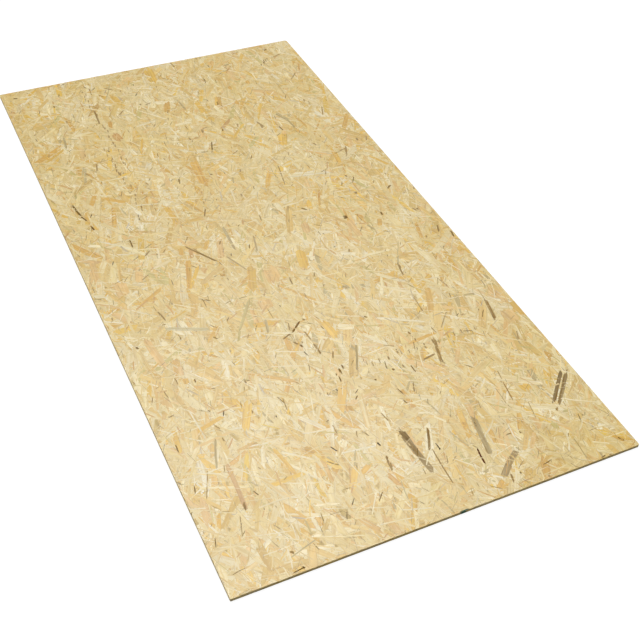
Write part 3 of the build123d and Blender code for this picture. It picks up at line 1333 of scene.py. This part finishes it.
    def bake_map(self, spot: np.ndarray) -> np.ndarray:
        """Lays the plane's tiles side by side in the unit square, seen straight on.

        The plane is cut along its length into tiles. A strand belongs wholly to the tile that
        holds its centre, and each tile is as large as its strands reach, less a narrow gap.

        Args:
            spot: Each point's place across and along, and its strand's centre along.

        Returns:
            Map places, as points by two.
        """
        side_gap, end_gap = 0.004, 0.002
        half = self.plane.half_along
        tile = np.clip(((spot[:, 2] + half) / (2 * half) * self.tiles).astype(int), 0, self.tiles - 1)
        places = np.zeros((len(spot), 2))
        for number in range(self.tiles):
            mine = tile == number
            if not mine.any():
                continue
            flat = spot[mine, :2]
            flat = (flat - flat.min(0)) / np.ptp(flat, axis=0)
            places[mine, 0] = (number + side_gap + (1 - 2 * side_gap) * flat[:, 0]) / self.tiles
            places[mine, 1] = end_gap + (1 - 2 * end_gap) * flat[:, 1]
        return places

    def build(self) -> bpy.types.Object:
        """Makes the mesh, its attributes and its map, and gives it its material.

        Each layer's face corners and strand numbers count on from the layer before.

        Returns:
            The finished object, at the origin.
        """
        rng = np.random.default_rng(self.seed)
        parts = [self.shape(layer, rng) for layer in self.layers if len(layer.strands)]
        points = strands = 0
        for part in parts:
            part["faces"] = part["faces"] + points
            part["number"] = part["number"] + strands
            points += len(part["space"])
            strands = part["number"][-1] + 1
        whole = {name: np.concatenate([part[name] for part in parts]) for name in parts[0]}
        if self.own_cells:
            places = self.cell_map(whole["local"], whole["number"])
        else:
            places = self.bake_map(whole["spot"])

        faces = whole["faces"]
        mesh = bpy.data.meshes.new(self.name)
        mesh.vertices.add(len(whole["space"]))
        mesh.vertices.foreach_set("co", whole["space"].astype(np.float32).ravel())
        mesh.loops.add(faces.size)
        mesh.loops.foreach_set("vertex_index", faces.astype(np.int32).ravel())
        mesh.polygons.add(len(faces))
        mesh.polygons.foreach_set("loop_start", np.arange(0, faces.size, 4, dtype=np.int32))
        mesh.update(calc_edges=True)
        mesh.shade_flat()
        for name, kind, key, values in (
            ("strand_tint", "FLOAT_COLOR", "color", whole["tint"]),
            ("grain_mm", "FLOAT_VECTOR", "vector", whole["grain"]),
            ("rim", "FLOAT", "value", whole["rim"]),
        ):
            data = mesh.attributes.new(name, kind, "POINT").data
            data.foreach_set(key, values.astype(np.float32).ravel())
        flat_map = mesh.uv_layers.new(name="OFBake").data
        flat_map.foreach_set("uv", places[faces.ravel()].astype(np.float32).ravel())
        mesh.materials.append(self.material)
        piece = bpy.data.objects.new(self.name, mesh)
        bpy.context.scene.collection.objects.link(piece)
        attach(piece, BODY)
        LOG.info("%s: %d strands, %d triangles", self.name, strands, 2 * len(faces))
        return piece


def marked_strands(marks: list[Mark], level_mm: tuple[float, float], rng: np.random.Generator) -> Strands:
    """Turns the listed marks into strands.

    The centre is the middle of start and end, the angle is the direction between them from the
    along axis towards the across axis, and the colour is the tone's with a little spread. The
    darker a mark is, the stronger its figure.

    Args:
        marks: The marks, in millimetres on the top face.
        level_mm: The lowest and highest level.
        rng: The seeded generator.

    Returns:
        The strands.
    """
    start = MM * np.array([mark.start for mark in marks], float)
    end = MM * np.array([mark.end for mark in marks], float)
    middle, run = (start + end) / 2, end - start
    count = len(marks)
    tint = np.array([linear(mark.tone.value) for mark in marks])
    light_levels, figures = (0.03, 0.15, 0.35, 0.5), (3.0, 2.2, 1.4, 1.2)
    bow_share, most_skew, tint_spread = 0.01, 0.8, 0.05
    length = np.linalg.norm(run, axis=1)
    return Strands(
        across=middle[:, 0],
        along=middle[:, 1],
        angle=np.arctan2(run[:, 0], run[:, 1]),
        length=length,
        width=MM * np.array([mark.width for mark in marks], float),
        bow=bow_share * length * rng.standard_normal(count),
        taper=np.array([mark.taper for mark in marks], float),
        skew=rng.uniform(-most_skew, most_skew, count),
        level=MM * rng.uniform(*level_mm, count),
        tint=tint * (1 + tint_spread * rng.standard_normal((count, 1))),
        figure=np.interp(tint.mean(1), light_levels, figures),
    )


@dataclass
class BroadFace:
    """One broad face of the sheet, strewn with strands in lengthwise strips.

    The strands that stand out lie over the lays and under the fines.
    """

    name: str
    plane: FacePlane
    lays: list[Lay]
    fines: list[Lay]
    strips: int
    seed: int
    marked: Strands | None = None
    overhang: float = 45 * MM
    kept_reach: float = 0.66
    own_cells: bool = False
    pieces: list[bpy.types.Object] = field(default_factory=list)

    def over_the_face(self, strands: Strands) -> Strands:
        """Keeps the strands that reach well over the face, as the saw leaves them.

        A strand reaches as far across as half its length times the sine of its angle plus half
        its width times the cosine, and along with the two exchanged. It is kept if its centre is
        outside by less than the kept share of that.

        Args:
            strands: Strands strewn past the outline.

        Returns:
            Those that are kept.
        """
        sin, cos = np.abs(np.sin(strands.angle)), np.abs(np.cos(strands.angle))
        reach_across = (strands.length * sin + strands.width * cos) / 2
        reach_along = (strands.length * cos + strands.width * sin) / 2
        kept = np.abs(strands.across) < self.plane.half_across + self.kept_reach * reach_across
        kept &= np.abs(strands.along) < self.plane.half_along + self.kept_reach * reach_along
        return strands.pick(kept)

    def layers(self, rng: np.random.Generator) -> list[Layer]:
        """Strews the lays and the fines, with the strands that stand out between them.

        Args:
            rng: The seeded generator.

        Returns:
            The layers, from the lowest up.
        """
        spare = 2 * self.overhang
        across, along = 2 * self.plane.half_across + spare, 2 * self.plane.half_along + spare
        below, above = (
            [Layer(lay.cut, self.over_the_face(lay.strew(across, along, rng))) for lay in lays]
            for lays in (self.lays, self.fines)
        )
        between = [] if self.marked is None else [Layer(Cut.BOWED_FLAKE, self.marked)]
        return below + between + above

    def build(self, material: bpy.types.Material) -> None:
        """Makes one joined mesh for each strip of the face.

        Args:
            material: The pressed strands' material.
        """
        layers = self.layers(np.random.default_rng(self.seed))
        across = 2 * self.plane.half_across
        for number in range(self.strips):
            mine = []
            for layer in layers:
                strip = ((layer.strands.across / across + 0.5) * self.strips).astype(int)
                inside = strip.clip(0, self.strips - 1) == number
                mine.append(Layer(layer.cut, layer.strands.pick(inside)))
            mat = StrandMat(
                name=f"{self.name}_{number + 1}",
                plane=self.plane,
                layers=mine,
                material=material,
                own_cells=self.own_cells,
                seed=self.seed + 10 + number,
            )
            self.pieces.append(mat.build())


@dataclass
class SawnEdge:
    """One sawn edge: the cut ends and sides of the strands, in thin layers through the board.

    The outer layers run along the sheet and the middle ones across it. A cut across the strands
    shows their widths, and a cut beside them shows their lengths.
    """

    name: str
    plane: FacePlane
    cuts_outer_strands: bool
    seed: int
    layer_mm: float = 0.62
    outer_share: float = 0.28
    end_mm: tuple[float, float] = (5.0, 26.0)
    side_mm: tuple[float, float] = (18.0, 110.0)
    length_curve: tuple[float, float] = (1.3, 2.4)
    thickness_mm: tuple[float, float] = (0.35, 0.62)
    wander_mm: float = 0.12
    tilt_deg: float = 0.25
    bow_mm: float = 0.08
    overlap: float = 1.04
    taper: tuple[float, float] = (0.25, 0.8)
    figure: tuple[float, float] = (0.6, 1.4)
    level_mm: tuple[float, float] = (0.01, 0.16)
    missing: float = 0.05
    dab: tuple[float, float] | None = None
    dab_strands: int = 22
    dab_depth: float = 0.47
    dab_sway: float = 0.15
    dab_length: tuple[float, float] = (0.66, 1.33)
    dab_width_mm: float = 0.8
    dab_taper: tuple[float, float] = (0.3, 0.8)
    dab_level_mm: tuple[float, float] = (0.18, 0.24)

    def strands(self, rng: np.random.Generator) -> Strands:
        """Fills the cut with layers of strands laid end to end.

        In each layer the lengths are drawn until they pass the edge's length, and their running
        total gives the places. A few are left out as gaps, and each wanders from its layer.

        Args:
            rng: The seeded generator.

        Returns:
            The strands of this edge.
        """
        span = 2 * self.plane.half_along
        tall = 2 * self.plane.half_across
        layers = int(tall / (self.layer_mm * MM))
        groups = []
        for layer in range(layers):
            depth = (layer + 0.5) / layers
            outer = min(depth, 1 - depth) < self.outer_share
            low, high = self.end_mm if outer == self.cuts_outer_strands else self.side_mm
            enough = int(span / (low * MM)) + 1
            length = MM * (low + (high - low) * rng.beta(*self.length_curve, enough))
            stop = np.cumsum(length)
            keep = (stop - length < span) & (rng.random(enough) > self.missing)
            length, stop = length[keep], stop[keep]
            count = len(length)
            groups.append(
                Strands(
                    across=(depth - 0.5) * tall + self.wander_mm * MM * rng.standard_normal(count),
                    along=stop - length / 2 - span / 2,
                    angle=np.radians(self.tilt_deg) * rng.standard_normal(count),
                    length=length * self.overlap,
                    width=MM * rng.uniform(*self.thickness_mm, count),
                    bow=self.bow_mm * MM * rng.standard_normal(count),
                    taper=rng.uniform(*self.taper, count),
                    skew=rng.uniform(-1, 1, count),
                    level=MM * rng.uniform(*self.level_mm, count),
                    tint=SAWN_WOODS.draw(count, rng),
                    figure=rng.uniform(*self.figure, count),
                )
            )
        if self.dab is not None:
            groups.append(self.painted(rng))
        return Strands.together(groups)

    def painted(self, rng: np.random.Generator) -> Strands:
        """Lays a dab of paint over the cut, as a pile of short green strands.

        The strands are spread evenly through the thickness. Each one's middle lies off the dab's
        by a normal spread, it is up to a third longer or shorter than the dab, and it overlaps
        the next one.

        Args:
            rng: The seeded generator.

        Returns:
            The painted strands.
        """
        count = self.dab_strands
        middle, reach = self.dab
        tall = 2 * self.plane.half_across
        return Strands(
            across=np.linspace(-self.dab_depth, self.dab_depth, count) * tall,
            along=middle + self.dab_sway * reach * rng.standard_normal(count),
            angle=np.zeros(count),
            length=2 * reach * rng.uniform(*self.dab_length, count),
            width=np.full(count, self.dab_width_mm * MM),
            bow=np.zeros(count),
            taper=rng.uniform(*self.dab_taper, count),
            skew=rng.uniform(-1, 1, count),
            level=MM * rng.uniform(*self.dab_level_mm, count),
            tint=np.tile(linear(Tone.GREEN_PAINT.value), (count, 1)),
            figure=np.ones(count),
        )

    def build(self, material: bpy.types.Material) -> bpy.types.Object:
        """Makes the edge's joined mesh.

        Args:
            material: The sawn strands' material.

        Returns:
            The finished object.
        """
        mat = StrandMat(
            name=self.name,
            plane=self.plane,
            layers=[Layer(Cut.SLIVER, self.strands(np.random.default_rng(self.seed)))],
            material=material,
            ragged=0.1 * MM,
            sunk=0.4 * MM,
            tiles=24,
            seed=self.seed + 1,
        )
        return mat.build()


@dataclass
class StrandBoard:
    """The whole sheet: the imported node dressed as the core, both broad faces and four cuts.

    The corner wear is for the near left, near right, far right and far left corners, and the
    paint dab is the middle and half the length of the green dab along the near edge.
    """

    sheet: bpy.types.Object
    corner_wear_mm: tuple[float, float, float, float] = (2.0, 4.0, 12.0, 3.0)
    edge_margin_mm: float = 0.1
    paint_dab_mm: tuple[float, float] = (41.0, 8.5)
    marks_seed: int = 5
    mark_level_mm: tuple[float, float] = (0.185, 0.205)
    speck_lean_mm: float = 2.0
    speck_width: float = 0.9

    def plane(
        self, at: tuple, across: tuple, along: tuple, out: tuple, corners: tuple = (0.0, 0.0, 0.0, 0.0)
    ) -> FacePlane:
        """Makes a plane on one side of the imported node's box.

        Args:
            at: The side, as a unit vector from the box's middle.
            across: The plane's across axis.
            along: The plane's along axis.
            out: The plane's outward axis.
            corners: The plane's corner radii.

        Returns:
            The plane, whose half sizes are the box's along its axes.
        """
        low, high = (np.array(corner, float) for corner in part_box(SHEET_NODE))
        middle, half = (low + high) / 2, (high - low) / 2
        sizes = [float(np.abs(np.array(axis)) @ half) for axis in (across, along)]
        return FacePlane(tuple(middle + np.array(at) * half), across, along, out, *sizes, corners)

    def edge_plane(self, out: tuple, along: tuple, wear: float) -> FacePlane:
        """Makes the plane of one sawn edge, which stops where the worn corners start.

        Args:
            out: The edge's outward axis.
            along: The axis along the edge.
            wear: The larger of the radii at its two ends.

        Returns:
            The plane.
        """
        whole = self.plane(out, (0, 0, -1), along, out)
        across = whole.half_across - self.edge_margin_mm * MM
        return replace(whole, half_across=across, half_along=whole.half_along - wear)

    def planes(self) -> dict[str, FacePlane]:
        """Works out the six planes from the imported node's box.

        Returns:
            Each plane by a plain name.
        """
        wear = tuple(MM * radius for radius in self.corner_wear_mm)
        near_left, near_right, far_right, far_left = wear
        x, y, z = (1, 0, 0), (0, 1, 0), (0, 0, 1)
        back_x, back_y, down = (-1, 0, 0), (0, -1, 0), (0, 0, -1)
        mirrored = (near_right, near_left, far_left, far_right)
        return {
            "top": self.plane(z, x, y, z, wear),
            "under": self.plane(down, back_x, y, down, mirrored),
            "near_edge": self.edge_plane(back_y, x, max(near_left, near_right)),
            "far_edge": self.edge_plane(y, back_x, max(far_left, far_right)),
            "left_edge": self.edge_plane(back_x, back_y, max(near_left, far_left)),
            "right_edge": self.edge_plane(x, y, max(near_right, far_right)),
        }

    def marks(self, rng: np.random.Generator) -> tuple[Strands, Strands]:
        """Gathers the strands that stand out, from the marks, the trails and the specks.

        A speck is a short brown mark that runs its half length to either side of its place, and
        is nearly as wide as that.

        Args:
            rng: The seeded generator.

        Returns:
            The ones of bark and old wood, and the others.
        """
        marks = [slat for mark in MARKS for slat in mark.slats(rng)]
        marks += [mark for trail in TRAILS for mark in trail.marks(rng)]
        for x, y, half in SPECKS:
            end = (x - self.speck_lean_mm, y - half)
            marks.append(Mark((x, y + half), end, self.speck_width * half, Tone.BROWN_HEART))
        dark = [mark for mark in marks if mark.tone in BARK_TONES]
        pale = [mark for mark in marks if mark.tone not in BARK_TONES]
        level = self.mark_level_mm
        return marked_strands(dark, level, rng), marked_strands(pale, level, rng)

    def dress_core(self) -> None:
        """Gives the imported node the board's core as its one material."""
        self.sheet.data.materials.clear()
        self.sheet.data.materials.append(BoardCore().material())

    def faces(self, planes: dict[str, FacePlane]) -> None:
        """Lays the strands on both broad faces, with the ones that stand out on the top.

        Args:
            planes: The six planes.
        """
        dark, pale = self.marks(np.random.default_rng(self.marks_seed))
        bark = BroadFace(
            name="top_bark",
            plane=planes["top"],
            lays=[],
            fines=BARK_SLIVERS,
            strips=1,
            seed=71,
            marked=dark,
            own_cells=True,
        )
        bark.build(BarkStrands().material())
        pressed = PressedStrands().material()
        top = BroadFace(
            name="top_strands",
            plane=planes["top"],
            lays=TOP_LAYS,
            fines=TOP_FINES,
            strips=6,
            seed=11,
            marked=pale,
        )
        top.build(pressed)
        under = BroadFace(
            name="under_strands",
            plane=planes["under"],
            lays=UNDER_LAYS,
            fines=UNDER_FINES,
            strips=4,
            seed=31,
        )
        under.build(pressed)

    def edges(self, planes: dict[str, FacePlane]) -> None:
        """Lays the cut strands on the four sawn edges, which cross the strands at both short ends.

        Args:
            planes: The six planes.
        """
        sawn = SawnStrands().material()
        dab = tuple(MM * size for size in self.paint_dab_mm)
        for number, name in enumerate(("near_edge", "far_edge", "left_edge", "right_edge")):
            edge = SawnEdge(
                name=f"{name}_strands",
                plane=planes[name],
                cuts_outer_strands=name in ("near_edge", "far_edge"),
                seed=51 + number,
                dab=dab if name == "near_edge" else None,
            )
            edge.build(sawn)

    def build(self) -> None:
        """Dresses the core and lays the strands on every side."""
        planes = self.planes()
        self.dress_core()
        self.faces(planes)
        self.edges(planes)


def white_to(tree: bpy.types.NodeTree) -> bpy.types.NodeSocket:
    """Tells the rays that show the white background from those that light the object.

    Args:
        tree: The floor's or the sky's node tree.

    Returns:
        A socket that is 1 for camera, glossy and transmission rays, and 0 for the others.
    """
    path = add_node(tree, "ShaderNodeLightPath")
    mirrored = {0: path.outputs["Is Glossy Ray"], 1: path.outputs["Is Transmission Ray"]}
    through = add_node(tree, "ShaderNodeMath", mirrored, operation="MAXIMUM").outputs[0]
    seen = {0: path.outputs["Is Camera Ray"], 1: through}
    return add_node(tree, "ShaderNodeMath", seen, operation="MAXIMUM").outputs[0]


@dataclass(frozen=True)
class MattFloor:
    """A white matt studio floor, which the camera sees as white where no shadow falls."""

    name: str = "matt_white_floor"
    colour: str = "EFEFEF"
    camera_glow: float = 0.78
    glow_strength: float = 1.15

    def material(self) -> bpy.types.Material:
        """Builds the material: a plain diffuse white, with a share of even white for the camera.

        Returns:
            The material.
        """
        material, tree = blank_material(self.name)
        seen = white_to(tree)
        share = add_node(tree, "ShaderNodeMath", {0: seen, 1: self.camera_glow}, operation="MULTIPLY")
        paint = add_node(tree, "ShaderNodeBsdfDiffuse", {"Color": (*linear(self.colour), 1)})
        wires = {"Color": (1, 1, 1, 1), "Strength": self.glow_strength}
        glow = add_node(tree, "ShaderNodeEmission", wires)
        wires = {0: share.outputs[0], 1: paint.outputs[0], 2: glow.outputs[0]}
        both = add_node(tree, "ShaderNodeMixShader", wires)
        add_node(tree, "ShaderNodeOutputMaterial", {"Surface": both.outputs[0]})
        return material


@dataclass(frozen=True)
class SoftLamp:
    """A broad, even lamp far off: where it stands, how strong it is and how wide it looks.

    A lamp that isn't in the sheen only fills, as light bounced from a wall does.
    """

    name: str
    azimuth_deg: float
    height_deg: float
    strength: float
    width_deg: float
    in_the_sheen: bool = True

    def build(self) -> None:
        """Hangs the lamp. The azimuth runs from +Y towards +X, and the height from level."""
        lamp = bpy.data.lights.new(self.name, "SUN")
        lamp.energy = self.strength
        lamp.angle = np.radians(self.width_deg)
        holder = bpy.data.objects.new(self.name, lamp)
        azimuth, height = np.radians((self.azimuth_deg, self.height_deg))
        toward = Vector(
            (np.sin(azimuth) * np.cos(height), np.cos(azimuth) * np.cos(height), np.sin(height))
        )
        holder.rotation_euler = toward.to_track_quat("Z", "Y").to_euler()
        holder.visible_glossy = self.in_the_sheen
        bpy.context.scene.collection.objects.link(holder)


@dataclass
class Studio:
    """The floor, the soft light and the camera at the photo's place.

    One lamp is high beyond the far end, so the pressed faces show their dull sheen at the near
    left and the near cut is in shade. The other is low at the left and fills the left cut.
    """

    floor_size: float = 60.0
    floor_gap: float = 0.6 * MM
    sky: float = 0.28
    lamps: tuple[SoftLamp, ...] = (
        SoftLamp("high_far_lamp", 24.0, 56.0, 2.15, 28.0),
        SoftLamp("low_left_lamp", -92.0, 26.0, 1.2, 40.0, in_the_sheen=False),
    )
    camera_place: tuple[float, float, float] = (-1.1028, -2.5723, 2.2782)
    yaw_deg: float = 27.294
    pitch_deg: float = -43.259
    roll_deg: float = 3.182
    focal_mm: float = 58.969

    def lay_floor(self) -> None:
        """Lays one square floor just under the sheet's lowest strands."""
        half = self.floor_size / 2
        mesh = bpy.data.meshes.new("studio_floor")
        corners = [(-half, -half), (half, -half), (half, half), (-half, half)]
        mesh.from_pydata([(x, y, -self.floor_gap) for x, y in corners], [], [(0, 1, 2, 3)])
        mesh.materials.append(MattFloor().material())
        floor = bpy.data.objects.new("studio_floor", mesh)
        bpy.context.scene.collection.objects.link(floor)

    def light(self) -> None:
        """Sets an even pale sky, white to the camera, and hangs the soft lamps."""
        world = bpy.data.worlds.new("studio_sky")
        world.use_nodes = True
        tree = world.node_tree
        tree.nodes.clear()
        seen = white_to(tree)
        strength = add_node(tree, "ShaderNodeMapRange", {0: seen, 3: self.sky, 4: 1.0}).outputs[0]
        glow = add_node(tree, "ShaderNodeBackground", {"Color": (1, 1, 1, 1), "Strength": strength})
        add_node(tree, "ShaderNodeOutputWorld", {"Surface": glow.outputs[0]})
        bpy.context.scene.world = world
        for lamp in self.lamps:
            lamp.build()

    def place_camera(self) -> None:
        """Stands the camera where the photo was taken.

        The view runs along yaw from +Y towards +X and pitch from level. Roll turns the picture
        about that line.
        """
        yaw, pitch, roll = np.radians((self.yaw_deg, self.pitch_deg, self.roll_deg))
        ahead = np.array([np.sin(yaw) * np.cos(pitch), np.cos(yaw) * np.cos(pitch), np.sin(pitch)])
        level = np.array([np.cos(yaw), -np.sin(yaw), 0.0])
        upright = np.cross(level, ahead)
        right = np.cos(roll) * level + np.sin(roll) * upright
        up = -np.sin(roll) * level + np.cos(roll) * upright
        camera = bpy.data.cameras.new("photo_camera")
        camera.sensor_width = 36.0
        camera.lens = self.focal_mm
        holder = bpy.data.objects.new("photo_camera", camera)
        turn = Matrix(np.stack([right, up, -ahead], 1).tolist()).to_4x4()
        holder.matrix_world = Matrix.Translation(self.camera_place) @ turn
        bpy.context.scene.collection.objects.link(holder)
        bpy.context.scene.camera = holder

    def build(self) -> None:
        """Lays the floor, sets the light, stands the camera and picks the plain view."""
        self.lay_floor()
        self.light()
        self.place_camera()
        bpy.context.scene.view_settings.view_transform = "Standard"


def main() -> None:
    """Builds the board and the studio in order."""
    logging.basicConfig(level=logging.INFO, format="%(name)s: %(message)s")
    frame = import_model()
    Studio().build()
    LOG.info("studio: floor, lamps and camera set")
    StrandBoard(sheet=frame["nodes"][SHEET_NODE]).build()


if __name__ == "__main__":
    main()
